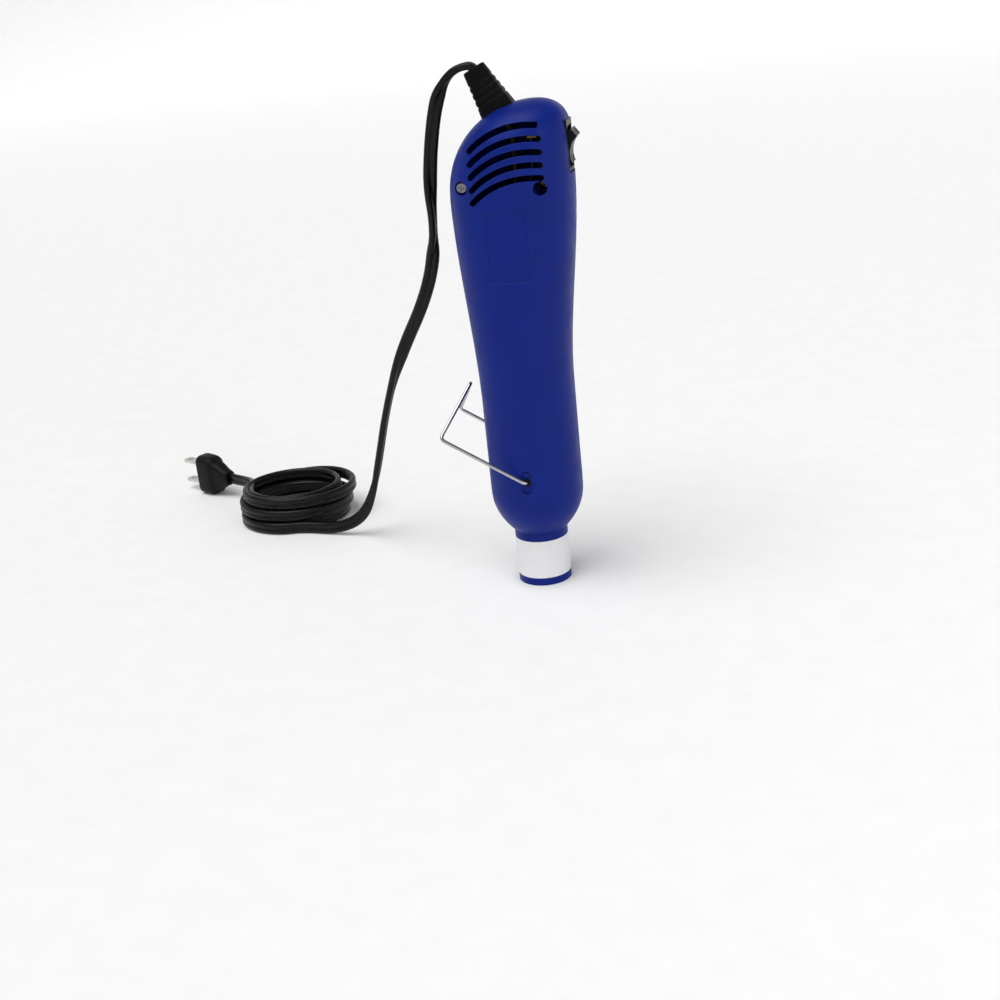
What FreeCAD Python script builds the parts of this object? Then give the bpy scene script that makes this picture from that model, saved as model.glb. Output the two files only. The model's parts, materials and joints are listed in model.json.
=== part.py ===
import FreeCAD, Part
import math
import os

# Hand-held craft heat tool (hot-air embosser), standing on its nose.
# Frame: origin at the centre of the nose end face, +Z up the nozzle axis to
# the cord end, -X the front (stand and cord side), +X the switch side,
# -Y the left-hand shell.  All sizes are millimetres.

V = FreeCAD.Vector
X = V(1, 0, 0)
Y = V(0, 1, 0)
Z = V(0, 0, 1)

# ---- housing outline -------------------------------------------------------
TOOL_LENGTH = 239.0        # nose end face to the crown of the dome
BARREL_R = 23.2            # radius of the round lower body
HEAD_FRONT = 28.0          # reach of the handle to the front, at its widest
HEAD_BACK = 31.5           # reach of the handle to the back, at its widest
HEAD_HALF = 25.8           # half thickness of the handle
CROWN_X = 15.0             # the highest point of the dome lies behind the axis
WALL = 2.2                 # wall of the shells
SEAM = 0.35                # width and depth of the groove along the parting line
SHELL_FOOT_Z = 28.5        # lower edge of the shells
SHELL_FOOT_R = 13.8        # radius there
SHOULDER_TOP_Z = 50.0      # where the rounded shoulder meets the barrel
GRIP_START_Z = 95.0        # where the barrel starts to swell into the handle
BACK_SWELL_Z = 105.0       # the back starts to swell a little higher
FRONT_DOME = 44.0          # height of the dome's curve at the front and sides
BACK_DOME = 34.0           # height of the dome's curve at the back

# ---- nose and heater -------------------------------------------------------
GUARD_R = 13.5             # outside radius of the nose guard
GUARD_WALL = 1.2
RIM_HEIGHT = 3.0           # solid rim at the guard's mouth
LABEL_TOP_Z = 24.0
LABEL_THICK = 0.25
SPIGOT_Z = 20.0            # how far the shells' spigot reaches into the guard
SPIGOT_WALL = 0.9
SLIP = 0.05                # clearance of a hand-pushed fit
TUBE_R = 10.2              # outside radius of the steel nozzle tube
TUBE_WALL = 0.5
TUBE_SETBACK = 2.0
TUBE_TOP_Z = 46.0
TUBE_FLANGE = 1.6
GRILLE_Z = 5.5
GRILLE_THICK = 0.8
MICA_WALL = 0.4
FORMER_THICK = 0.8
FORMER_WIDTH = 13.0
COIL_WIRE_R = 0.35
COIL_TURNS = 9
COIL_PITCH = 3.8
HOLDER_THICK = 3.0
FUSE_R = 1.9
FUSE_LENGTH = 9.0

# ---- duct, fan and motor ---------------------------------------------------
LEAD_GAP = 2.6             # space for the heater leads between duct and shells
DUCT_WALL = 1.2
CONE_TOP_Z = 64.0
FAN_TIP_GAP = 0.6
FAN_HEIGHT = 10.0
FAN_HUB_R = 6.0
FAN_BLADES = 7
BLADE_THICK = 0.9
MOTOR_R = 12.2
MOTOR_LENGTH = 29.0
MOTOR_TOP_DROP = 76.0      # from the crown down to the motor's open end
CAN_WALL = 0.9
SHAFT_R = 1.0
BUSH_GAP = 0.03            # running clearance of the shaft in its bushes
BUSH_R = 2.6
BUSH_LENGTH = 2.6
MAGNET_THICK = 2.0
AIR_GAP = 0.45
ROTOR_STACK = 15.0
COMMUTATOR_R = 3.0
CAP_THICK = 4.0
BOARD_THICK = 1.2
BOARD_SIDE = 20.0
BOARD_GAP = 4.0            # end cap to board, bridged by the motor tabs
LEAD_R = 0.8

# ---- switch ----------------------------------------------------------------
SWITCH_LOW = 34.0          # from the crown down to the bezel's lower edge
SWITCH_LENGTH = 23.6
SWITCH_WIDTH = 17.0
SWITCH_DEPTH = 14.6
SWITCH_FACE_X = 30.6       # outer face of the bezel
BEZEL_THICK = 1.6
BEZEL_LIP = 1.0            # bezel overhang round the switch body
ROCKER_LENGTH = 18.0
ROCKER_WIDTH = 12.4
ROCKER_GAP = 0.35
ROCKER_PIN_R = 1.2
ROCKER_TILT = 14.0         # degrees each side of the middle
ROCKER_DROP = 0.5          # from the bezel's middle down to the rocker's pins
ROCKER_PEAK = 5.4          # from the pins out to each raised edge
ROCKER_DIP = 3.4           # and out to the hollow between them
ROCKER_END_SLOPE = 2.8     # how far each end face leans in
PIN_GAP = 0.05
SERRATION_R = 0.3
SERRATION_MARGIN = 0.8     # plain edge at each end of a serration

# ---- vents, panel and screws -----------------------------------------------
VENT_COUNT = 5
VENT_WIDTH = 2.8
VENT_PITCH = 5.75
VENT_ARC_R = 38.0
VENT_CROWN_X = 12.0
VENT_FRONT_X = -13.5
VENT_BACK_X = 19.0
VENT_TOP_DROP = 9.8        # from the crown down to the top slot
PANEL_WIDTH = 20.0
PANEL_HEIGHT = 33.0
PANEL_DROP = 80.0          # from the crown down to the panel's lower edge
PANEL_DEPTH = 0.35
SCREW_R = 1.25
SCREW_HEAD_R = 2.5
SCREW_HEAD = 1.8
SCREW_WELL_R = 3.2
HEAD_PLAY = 0.2            # between a screw head and its bore
BOSS_WALL = 0.8
WELL_WALL = 1.0
# x, drop from the crown, distance of the head and of the well from the seam
FRONT_SCREW = (-19.0, 36.0, 15.4, 15.4)
BACK_SCREW = (18.2, 38.0, 3.0, 11.0)

# ---- wire stand ------------------------------------------------------------
STAND_WIRE_R = 0.9
STAND_PIVOT_X = -0.8
STAND_PIVOT_Z = 59.4
STAND_LEG = 47.5
STAND_CLEAR = 0.6          # between a leg and the barrel
STAND_ANGLE = 121.5        # degrees from straight down, turned to the front
STAND_VEE = 25.1           # depth of the V in the cross bar
STAND_BEND_R = 2.4
STAND_PIN_IN = 5.3         # how far each bent end reaches in from the leg
BUSH_WALL = 1.25
RECESS_DEPTH = 1.2
RECESS_WIDTH = 5.6
RECESS_HEIGHT = 12.0
DOT_R = 1.1                # small moulded dot in the recess, above the pivot
DOT_HEIGHT = 0.7
DOT_RISE = 1.0             # from the centre of the recess's round end

# ---- strain relief, cord and plug ------------------------------------------
RELIEF_AT = V(-1.8, 0, 236.0)       # where its axis meets the dome
RELIEF_LEAN = 26.7                  # degrees towards the front
RELIEF_LENGTH = 20.5                # outside the shells
RELIEF_ROOT = (17.0, 12.5)          # width and thickness at the dome
RELIEF_TIP = (10.8, 7.6)
RELIEF_GROOVE = 1.2
RELIEF_INSIDE = 6.0
CORD_WIDTH = 6.8                    # flat two-core cord, across both cores
CORD_R = CORD_WIDTH / 2
INNER_CORD_R = 2.3
CLAMP_DROP = 50.0          # from the crown down to the cord clamp
CLAMP_POST_R = 2.4
CLAMP_POST_X = 6.4         # from the cord to each post
CLAMP_SCREW_R = 0.9
CLAMP_HEIGHT = 6.0
ARC_SHARE = 0.45

EXIT_RUN = 4.2                      # straight run out of the strain relief
LEAD_ROUTE = [
    (-16.2, 0, 259.9), (-20.3, 0, 260.0), (-24.4, 0, 257.6), (-28.0, 0, 251.5),
    (-31.8, 0.5, 240.0), (-36.6, 2.5, 221.0), (-40.4, 6, 201.0), (-42.0, 11, 180.0),
    (-45.5, 17, 160.0), (-55.0, 24, 139.5), (-68.0, 31.5, 119.0), (-79.5, 38, 97.0),
    (-88.5, 44.5, 74.0), (-96.0, 50.5, 51.0), (-103.5, 55.5, 29.0),
    (-113.0, 59.5, 11.5), (-130.0, 62.5, 3.6), (-153.0, 67.5, 3.6),
]
TAIL_ROUTE = [
    (-190.0, 88.0, 17.0), (-193.5, 102.0, 16.4), (-199.0, 114.0, 14.6),
]
COIL_AT = V(-165.0, 95.0, 0)
COIL_OUTER = (35.0, 32.5)           # half length and half width of the wound cord
COIL_INNER = (20.0, 17.5)
COIL_HEIGHT = 21.0
COIL_ROUND = 5.0

PLUG_FACE = V(-241.8, 143.1, 12.6)  # middle of the face that the blades leave
PLUG_TURN = 150.0                   # degrees from +X to the way the blades point
PLUG_HEIGHT = 25.0
PLUG_THICK = 13.0
PLUG_FLANGE = 14.0
PLUG_NECK = 12.0
PLUG_CORNER = 3.0
PLUG_LEAD = 12.0                    # the cord's straight run into the plug
BLADE_SPACING = 12.7
BLADE_LENGTH = 16.5
BLADE_WIDTH = 6.35
BLADE_THICK = 1.5


# ---- helpers ---------------------------------------------------------------
def cylinder(radius, length, at=V(0, 0, 0), axis=Z):
    return Part.makeCylinder(radius, length, at, axis)


def ring(outer, inner, z0, z1):
    body = cylinder(outer, z1 - z0, V(0, 0, z0))
    return body.cut(cylinder(inner, z1 - z0 + 2, V(0, 0, z0 - 1)))


def box(x0, x1, y0, y1, z0, z1):
    return Part.makeBox(x1 - x0, y1 - y0, z1 - z0, V(x0, y0, z0))


def revolve(points):
    """Solid of revolution about Z from (radius, height) points."""
    wire = Part.makePolygon([V(r, 0, z) for r, z in points + points[:1]])
    return Part.Face(wire).revolve(V(0, 0, 0), Z, 360)


def turned(shape, degrees, at=V(0, 0, 0), axis=Z):
    copy = shape.copy()
    copy.rotate(at, axis, degrees)
    return copy


def join(shapes):
    first = shapes[0]
    rest = shapes[1:]
    if not rest:
        return first
    return first.fuse(rest).removeSplitter()


def group(shapes):
    return Part.makeCompound(shapes)


def round_path(points, radius=None):
    """Straight runs joined by tangent arcs; returns the wire and its radii."""
    points = [V(*p) for p in points]
    edges = []
    radii = []
    start = points[0]
    for before, corner, after in zip(points, points[1:], points[2:]):
        way_in = (corner - before).normalize()
        way_out = (after - corner).normalize()
        half_turn = way_in.getAngle(way_out) / 2
        shorter = min((corner - before).Length, (after - corner).Length)
        r = radius or ARC_SHARE * shorter / math.tan(half_turn)
        reach = r * math.tan(half_turn)
        arc_in = corner - way_in * reach
        arc_out = corner + way_out * reach
        inward = (way_out - way_in).normalize()
        middle = corner + inward * (r / math.cos(half_turn) - r)
        edges.append(Part.LineSegment(start, arc_in).toShape())
        edges.append(Part.Arc(arc_in, middle, arc_out).toShape())
        radii.append(r)
        start = arc_out
    edges.append(Part.LineSegment(start, points[-1]).toShape())
    return Part.Wire(edges), radii


def tube_along(points, tube_r, bend_r=None):
    wire, radii = round_path(points, bend_r)
    start = V(*points[0])
    way = (V(*points[1]) - start).normalize()
    section = Part.Wire(Part.makeCircle(tube_r, start, way))
    sweep = wire.makePipeShell([section], True, False)
    expected = math.pi * tube_r ** 2 * wire.Length
    if abs(sweep.Volume - expected) > 0.02 * expected:
        raise ValueError("the tube's volume doesn't match its length")
    return sweep, wire.Length, radii


# ---- housing outline -------------------------------------------------------
def ease(u):
    u = min(max(u, 0.0), 1.0)
    return u * u * (3 - 2 * u)


def dome_share(z, start, top, power):
    t = max((z - start) / (top - start), 0.0)
    return math.sqrt(max(1 - t ** power, 0.0))


def outline(z, inset):
    """Front x, back x and half thickness of the body at a height."""
    top = TOOL_LENGTH - inset
    front_start = TOOL_LENGTH - FRONT_DOME
    back_start = TOOL_LENGTH - BACK_DOME
    swell = ease((z - GRIP_START_Z) / (front_start - GRIP_START_Z))
    back_swell = ease((z - BACK_SWELL_Z) / (back_start - BACK_SWELL_Z))
    front = BARREL_R + (HEAD_FRONT - BARREL_R) * swell - inset
    back = BARREL_R + (HEAD_BACK - BARREL_R) * back_swell - inset
    half = BARREL_R + (HEAD_HALF - BARREL_R) * swell - inset
    foot = SHELL_FOOT_Z + inset
    if z < SHOULDER_TOP_Z:
        u = (z - foot) / (SHOULDER_TOP_Z - foot)
        trim = (BARREL_R - SHELL_FOOT_R) * (1 - u) ** 2.2
        return -(front - trim), back - trim, half - trim
    x_front = CROWN_X - (CROWN_X + front) * dome_share(z, front_start, top, 2.15)
    x_back = CROWN_X + (back - CROWN_X) * dome_share(z, back_start, top, 6)
    y_half = half * dome_share(z, front_start, top, 4)
    return x_front, x_back, y_half


def section(z, inset):
    x_front, x_back, y_half = outline(z, inset)
    centre = (x_front + x_back) / 2
    reach = (x_back - x_front) / 2
    square = 2 + 0.25 * ease((z - GRIP_START_Z) / GRIP_START_Z)
    points = []
    for step in range(28):
        angle = math.pi / 2 + 2 * math.pi * step / 28
        c = math.cos(angle)
        s = math.sin(angle)
        px = centre + reach * math.copysign(abs(c) ** (2 / square), c)
        py = y_half * math.copysign(abs(s) ** (2 / square), s)
        points.append(V(px, py, z))
    curve = Part.BSplineCurve()
    curve.interpolate(points, PeriodicFlag=True)
    return Part.Wire(curve.toShape())


def body_form(inset):
    """The closed outer form of the body, moved in by inset all round."""
    foot = SHELL_FOOT_Z + inset
    rise = SHOULDER_TOP_Z - foot
    levels = [foot + rise * u for u in (0, 0.06, 0.16, 0.32, 0.55, 0.8)]
    levels += [SHOULDER_TOP_Z, 65.0]
    dome_start = TOOL_LENGTH - FRONT_DOME
    count = 8
    for k in range(count + 1):
        levels.append(GRIP_START_Z - 8 + (dome_start - GRIP_START_Z + 8) * k / count)
    dome_height = TOOL_LENGTH - inset - 0.12 - dome_start
    count = 9
    for k in range(1, count + 1):
        levels.append(dome_start + dome_height * math.sin(math.pi / 2 * k / count))
    return Part.makeLoft([section(z, inset) for z in levels], True, False)


def shell_side(sign, shape):
    """The half of a shape on one side of the parting plane."""
    low, high = (-80, 0) if sign < 0 else (0, 80)
    return shape.common(box(-80, 80, low, high, -1, TOOL_LENGTH + 20))


def relief_axis():
    lean = math.radians(RELIEF_LEAN)
    return V(-math.sin(lean), 0, math.cos(lean))


def rounded_rect_wire(width, thick, corner, at, axis):
    """Rounded rectangle, width along the XZ plane, thick along Y."""
    across = Y.cross(axis).normalize()
    w = width / 2 - corner
    t = thick / 2 - corner
    k = corner * math.sin(math.pi / 4)

    def place(u, v):
        return at + across * u + Y * v

    edges = []
    corners = [(1, 1), (-1, 1), (-1, -1), (1, -1)]
    for n, (a, b) in enumerate(corners):
        side = (a * w, b * (t + corner))
        end = (a * (w + corner), b * t)
        mid = (a * (w + k), b * (t + k))
        if n % 2 == 0:
            first, last = end, side
        else:
            first, last = side, end
        edges.append(Part.Arc(place(*first), place(*mid), place(*last)).toShape())
        c, d = corners[(n + 1) % 4]
        nxt = (c * w, d * (t + corner)) if n % 2 == 0 else (c * (w + corner), d * t)
        edges.append(Part.LineSegment(place(*last), place(*nxt)).toShape())
    return Part.Wire(edges)


# ---- derived places --------------------------------------------------------
DUCT_R = BARREL_R - WALL - LEAD_GAP
LEAD_LINE_R = DUCT_R + LEAD_GAP / 2
MOTOR_TOP = TOOL_LENGTH - MOTOR_TOP_DROP
MOTOR_FOOT = MOTOR_TOP - MOTOR_LENGTH
MOUNT_TOP = MOTOR_FOOT + 6.0
MOUNT_FOOT = MOTOR_FOOT - 3.0
FAN_TOP = MOUNT_FOOT - 3.0
FAN_FOOT = FAN_TOP - FAN_HEIGHT
CAP_TOP = MOTOR_TOP + CAP_THICK
BOARD_Z = CAP_TOP + BOARD_GAP
BOARD_TOP = BOARD_Z + BOARD_THICK
SWITCH_Z = TOOL_LENGTH - SWITCH_LOW + SWITCH_LENGTH / 2
SWITCH_BACK_X = SWITCH_FACE_X - SWITCH_DEPTH
ROCKER_X = SWITCH_FACE_X - 2.7
ROCKER_Z = SWITCH_Z - ROCKER_DROP
STAND_Y = BARREL_R + STAND_CLEAR + STAND_WIRE_R
STAND_BORE_R = STAND_WIRE_R + PIN_GAP
STAND_BUSH_R = STAND_BORE_R + BUSH_WALL
RECESS_Y = BARREL_R - RECESS_DEPTH
CLAMP_Z = TOOL_LENGTH - CLAMP_DROP
RELIEF_DIR = relief_axis()
RELIEF_END = RELIEF_AT + RELIEF_DIR * RELIEF_LENGTH
RELIEF_BACK = RELIEF_AT - RELIEF_DIR * (WALL + RELIEF_INSIDE)
CLAMP_CORD_X = RELIEF_BACK.x + 2.0
CLAMP_SEAT_Y = INNER_CORD_R - 1.2
HOLDER_TOP = TUBE_TOP_Z + HOLDER_THICK
TUBE_BORE = TUBE_R - TUBE_WALL
COLLAR_R = TUBE_R + 0.5
BOARD_MIDDLE = BOARD_Z + BOARD_THICK / 2


# ---- shells ----------------------------------------------------------------
def vent_slots():
    slots = []
    for n in range(VENT_COUNT):
        top = TOOL_LENGTH - VENT_TOP_DROP - n * VENT_PITCH
        centre = V(VENT_CROWN_X, 0, top - VENT_ARC_R)

        def on_arc(x, radius):
            reach = x - VENT_CROWN_X
            rise = math.sqrt(VENT_ARC_R ** 2 - reach ** 2)
            return centre + V(reach, 0, rise) * (radius / VENT_ARC_R)

        outer = VENT_ARC_R + VENT_WIDTH / 2
        inner = VENT_ARC_R - VENT_WIDTH / 2
        a0, a1 = on_arc(VENT_FRONT_X, outer), on_arc(VENT_BACK_X, outer)
        b0, b1 = on_arc(VENT_FRONT_X, inner), on_arc(VENT_BACK_X, inner)
        middle_x = (VENT_FRONT_X + VENT_BACK_X) / 2
        end_front = on_arc(VENT_FRONT_X, VENT_ARC_R) + V(-0.86, 0, -0.5) * (VENT_WIDTH / 2)
        end_back = on_arc(VENT_BACK_X, VENT_ARC_R) + V(0.98, 0, -0.18) * (VENT_WIDTH / 2)
        edges = [
            Part.Arc(a0, on_arc(middle_x, outer), a1).toShape(),
            Part.LineSegment(a1, b1).toShape() if n == 0 else Part.Arc(a1, end_back, b1).toShape(),
            Part.Arc(b1, on_arc(middle_x, inner), b0).toShape(),
            Part.Arc(b0, end_front, a0).toShape(),
        ]
        face = Part.Face(Part.Wire(edges))
        face.translate(V(0, -60, 0))
        slots.append(face.extrude(V(0, 120, 0)))
    return slots


def switch_seat(cavity):
    """Inner frame that the bezel rests on, round the switch body."""
    half_w = SWITCH_WIDTH / 2 + 1.5
    half_l = SWITCH_LENGTH / 2 + 1.5
    x1 = SWITCH_FACE_X - BEZEL_THICK
    x0 = x1 - WALL
    plate = box(x0, x1, -half_w, half_w, SWITCH_Z - half_l, SWITCH_Z + half_l)
    bw = SWITCH_WIDTH / 2 - BEZEL_LIP + SLIP
    bl = SWITCH_LENGTH / 2 - BEZEL_LIP + SLIP
    hole = box(x0 - 1, x1 + 1, -bw, bw, SWITCH_Z - bl, SWITCH_Z + bl)
    return plate.cut(hole).common(cavity)


def relief_opening():
    grip = RELIEF_ROOT[0] - 2 * RELIEF_GROOVE
    thick = RELIEF_ROOT[1] - 2 * RELIEF_GROOVE
    low = rounded_rect_wire(grip, thick, 2.5, RELIEF_AT - RELIEF_DIR * 12, RELIEF_DIR)
    face = Part.Face(low)
    return face.extrude(RELIEF_DIR * 30)


def screw_boss(place, side):
    x, drop, _, well_depth = place
    z = TOOL_LENGTH - drop
    boss_r = SCREW_HEAD_R + HEAD_PLAY + BOSS_WALL
    if side > 0:
        return [cylinder(boss_r, 40, V(x, 0, z), Y)]
    foot = WELL_WALL - well_depth
    cup = cylinder(SCREW_WELL_R + WELL_WALL, 40, V(x, foot - 40, z), Y)
    return [cylinder(boss_r, 40, V(x, -40, z), Y), cup]


def screw_cuts(place):
    """Clearance hole and well in the left shell, pilot hole in the right."""
    x, drop, depth, well_depth = place
    z = TOOL_LENGTH - drop
    well = cylinder(SCREW_WELL_R, 60, V(x, -well_depth, z), V(0, -1, 0))
    bore = cylinder(SCREW_HEAD_R + HEAD_PLAY, 60, V(x, -depth, z), V(0, -1, 0))
    hole = cylinder(SCREW_R + 0.3, depth + 1, V(x, -depth, z), Y)
    pilot = cylinder(SCREW_R, 8.0, V(x, 0, z), Y)
    return [well, bore, hole], pilot


def stand_cuts(side):
    bore = cylinder(STAND_BUSH_R, 40, V(STAND_PIVOT_X, 0, STAND_PIVOT_Z), V(0, side, 0))
    w = RECESS_WIDTH / 2
    h = RECESS_HEIGHT / 2 - w
    y0, y1 = sorted((side * RECESS_Y, side * 60))
    slot = box(STAND_PIVOT_X - w, STAND_PIVOT_X + w, y0, y1,
               STAND_PIVOT_Z - h, STAND_PIVOT_Z + h)
    ends = []
    for end in (-h, h):
        at = V(STAND_PIVOT_X, y0, STAND_PIVOT_Z + end)
        ends.append(cylinder(w, y1 - y0, at, Y))
    at = V(STAND_PIVOT_X, side * (RECESS_Y - 1), STAND_PIVOT_Z + h + DOT_RISE)
    dot = cylinder(DOT_R, DOT_HEIGHT + 1, at, V(0, side, 0))
    return bore, join([slot] + ends).cut(dot)


def clamp_posts():
    """Two posts and a saddle in the right shell that carry the cord clamp."""
    posts = []
    for side in (-1, 1):
        x = CLAMP_CORD_X + side * CLAMP_POST_X
        posts.append(cylinder(CLAMP_POST_R, 40, V(x, CLAMP_SEAT_Y, CLAMP_Z), Y))
    half = INNER_CORD_R - 0.1
    posts.append(box(CLAMP_CORD_X - half, CLAMP_CORD_X + half, INNER_CORD_R, 40,
                     CLAMP_Z - 2, CLAMP_Z + 2))
    return posts


def shells():
    outer = body_form(0)
    cavity = body_form(WALL)
    skin = body_form(SEAM)
    hollow = outer.cut(cavity)
    seam = box(-60, 60, -SEAM / 2, SEAM / 2, 0, TOOL_LENGTH + 5).cut(skin)
    nose_r = GUARD_R - GUARD_WALL - SLIP
    spigot = ring(nose_r, nose_r - SPIGOT_WALL, SPIGOT_Z, SHELL_FOOT_Z + WALL + 1.0)
    nose_hole = cylinder(nose_r - SPIGOT_WALL, 20, V(0, 0, SHELL_FOOT_Z - 2))
    lead_notch = []
    for side in (-1, 1):
        x0, x1 = sorted((side * (DUCT_R - 1), side * (BARREL_R - WALL - 0.2)))
        lead_notch.append(box(x0, x1, -1.3, 1.3, CONE_TOP_Z - 10, MOUNT_TOP + 10))
    ribs = []
    for z in (CONE_TOP_Z + 2, MOUNT_TOP - 1.6):
        disc = cylinder(60, 1.6, V(0, 0, z)).common(cavity)
        ribs.append(disc.cut(cylinder(DUCT_R + SLIP, 4, V(0, 0, z - 1))))
    sides = {}
    for name, side in (("housing_left", -1), ("housing_right", 1)):
        adds = [spigot] + [rib.cut(lead_notch) for rib in ribs] + [switch_seat(cavity)]
        for place in (FRONT_SCREW, BACK_SCREW):
            adds += [boss.common(cavity) for boss in screw_boss(place, side)]
        boss = cylinder(STAND_BUSH_R + 1.4, 40, V(STAND_PIVOT_X, 0, STAND_PIVOT_Z), V(0, side, 0))
        inner_y = STAND_Y - STAND_PIN_IN
        boss = boss.common(cavity).cut(box(-9, 9, -inner_y, inner_y, 40, 80))
        adds.append(boss)
        if side > 0:
            adds += [post.common(cavity) for post in clamp_posts()]
        shell = hollow.fuse(adds)
        cuts = [nose_hole, seam, switch_opening(), relief_opening()]
        for place in (FRONT_SCREW, BACK_SCREW):
            head_side, pilot = screw_cuts(place)
            cuts += head_side if side < 0 else [pilot]
        cuts += list(stand_cuts(side))
        if side > 0:
            for k in (-1, 1):
                x = CLAMP_CORD_X + k * CLAMP_POST_X
                cuts.append(cylinder(CLAMP_SCREW_R, 8, V(x, 0, CLAMP_Z), Y))
        if side < 0:
            cuts += vent_slots() + [rating_panel()]
        sides[name] = shell_side(side, shell.cut(cuts))
    return sides


def switch_opening():
    """Pocket for the bezel and a hole for the switch body behind it."""
    half_w = SWITCH_WIDTH / 2 + SLIP
    half_l = SWITCH_LENGTH / 2 + SLIP
    x1 = SWITCH_FACE_X - BEZEL_THICK
    pocket = box(x1, 60, -half_w, half_w, SWITCH_Z - half_l, SWITCH_Z + half_l)
    bw = SWITCH_WIDTH / 2 - BEZEL_LIP + SLIP
    bl = SWITCH_LENGTH / 2 - BEZEL_LIP + SLIP
    hole = box(x1 - 12, x1 + 1, -bw, bw, SWITCH_Z - bl, SWITCH_Z + bl)
    return pocket.fuse(hole)


def rating_panel():
    """Shallow blank panel in the left shell, following its surface."""
    z0 = TOOL_LENGTH - PANEL_DROP
    block = box(-8.6, -8.6 + PANEL_WIDTH, -60, 0, z0, z0 + PANEL_HEIGHT)
    return block.cut(body_form(PANEL_DEPTH))


# ---- nose and heater -------------------------------------------------------
def nose_guard():
    inner = GUARD_R - GUARD_WALL
    groove = GUARD_R - LABEL_THICK
    rim = TUBE_R + 1.0
    edge = 0.5
    return revolve([
        (rim + edge, 0), (GUARD_R, 0), (GUARD_R, RIM_HEIGHT + 1),
        (groove, RIM_HEIGHT + 1), (groove, LABEL_TOP_Z), (GUARD_R, LABEL_TOP_Z),
        (GUARD_R, SHELL_FOOT_Z), (inner, SHELL_FOOT_Z), (inner, RIM_HEIGHT),
        (rim, RIM_HEIGHT), (rim, edge),
    ])


def nose_label():
    return ring(GUARD_R, GUARD_R - LABEL_THICK, RIM_HEIGHT + 1, LABEL_TOP_Z)


def nozzle_tube():
    flange = TUBE_R + TUBE_FLANGE
    return revolve([
        (TUBE_BORE, TUBE_SETBACK), (TUBE_R, TUBE_SETBACK), (TUBE_R, TUBE_TOP_Z - TUBE_WALL),
        (flange, TUBE_TOP_Z - TUBE_WALL), (flange, TUBE_TOP_Z), (TUBE_BORE, TUBE_TOP_Z),
    ])


def outlet_grille():
    top = GRILLE_Z + GRILLE_THICK
    rim = ring(TUBE_BORE, TUBE_BORE - 1.0, GRILLE_Z, top)
    bars = []
    for k in range(3):
        bar = box(-TUBE_BORE + 0.5, TUBE_BORE - 0.5, -0.5, 0.5, GRILLE_Z, top)
        bars.append(turned(bar, 60 * k))
    return join([rim] + bars + [ring(5.2, 4.2, GRILLE_Z, top)])


def mica_sleeve():
    outer = TUBE_BORE - SLIP
    return ring(outer, outer - MICA_WALL, GRILLE_Z + GRILLE_THICK, TUBE_TOP_Z)


def element_former():
    """Two mica sheets slotted into each other, crossed on the axis."""
    foot = GRILLE_Z + GRILLE_THICK + 2.0
    middle = (foot + TUBE_TOP_Z) / 2
    half = FORMER_WIDTH / 2
    t = FORMER_THICK / 2
    first = box(-half, half, -t, t, foot, TUBE_TOP_Z).cut(box(-t, t, -9, 9, middle, TUBE_TOP_Z + 1))
    second = box(-t, t, -half, half, foot, TUBE_TOP_Z).cut(box(-9, 9, -t, t, foot - 1, middle))
    return group([first, second])


def heating_coil():
    radius = FORMER_WIDTH / 2 + COIL_WIRE_R + SLIP
    foot = GRILLE_Z + GRILLE_THICK + 3.0
    helix = Part.makeHelix(COIL_PITCH, COIL_PITCH * COIL_TURNS, radius)
    helix.translate(V(0, 0, foot))
    start = V(radius, 0, foot)
    way = V(0, 2 * math.pi * radius, COIL_PITCH).normalize()
    section = Part.Wire(Part.makeCircle(COIL_WIRE_R, start, way))
    return Part.Wire(helix.Edges).makePipeShell([section], True, True)


def element_holder():
    disc = cylinder(COLLAR_R, HOLDER_THICK, V(0, 0, TUBE_TOP_Z))
    holes = []
    for k in range(6):
        hole = cylinder(2.3, HOLDER_THICK + 2, V(6.6, 0, TUBE_TOP_Z - 1))
        holes.append(turned(hole, 30 + 60 * k))
    return disc.cut(holes)


def thermal_fuse():
    body = cylinder(FUSE_R, FUSE_LENGTH, V(0, 0, HOLDER_TOP + 2.5))
    leg = cylinder(0.4, 2.5, V(0, 0, HOLDER_TOP))
    tail = cylinder(0.4, 2.5, V(0, 0, HOLDER_TOP + 2.5 + FUSE_LENGTH))
    return join([body, leg, tail])


# ---- duct, fan and motor ---------------------------------------------------
def air_duct():
    inner = DUCT_R - DUCT_WALL
    collar_top = HOLDER_TOP + 2.0
    duct = revolve([
        (COLLAR_R, TUBE_TOP_Z), (COLLAR_R + DUCT_WALL, TUBE_TOP_Z),
        (COLLAR_R + DUCT_WALL, collar_top), (DUCT_R, CONE_TOP_Z),
        (DUCT_R, MOUNT_FOOT), (inner, MOUNT_FOOT), (inner, CONE_TOP_Z + 0.5),
        (COLLAR_R, collar_top + 0.5),
    ])
    passage = cylinder(LEAD_R + 0.2, 60, V(-30, 0, HOLDER_TOP + LEAD_R), X)
    return duct.cut(passage)


def fan_impeller():
    tip = DUCT_R - DUCT_WALL - FAN_TIP_GAP
    hub = revolve([(SHAFT_R, FAN_FOOT), (FAN_HUB_R - 2, FAN_FOOT), (FAN_HUB_R, FAN_FOOT + 2),
                   (FAN_HUB_R, FAN_TOP), (SHAFT_R, FAN_TOP)])
    blades = []
    for k in range(FAN_BLADES):
        blade = box(FAN_HUB_R - 0.6, tip + 3, -BLADE_THICK / 2, BLADE_THICK / 2,
                    FAN_FOOT - 4, FAN_TOP + 4)
        blade = turned(blade, 38, V(0, 0, (FAN_FOOT + FAN_TOP) / 2), X)
        blades.append(turned(blade, 360 * k / FAN_BLADES))
    sweep = ring(tip, FAN_HUB_R - 0.4, FAN_FOOT + 2.3, FAN_TOP - 0.4)
    return join([hub] + [blade.common(sweep) for blade in blades])


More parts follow.
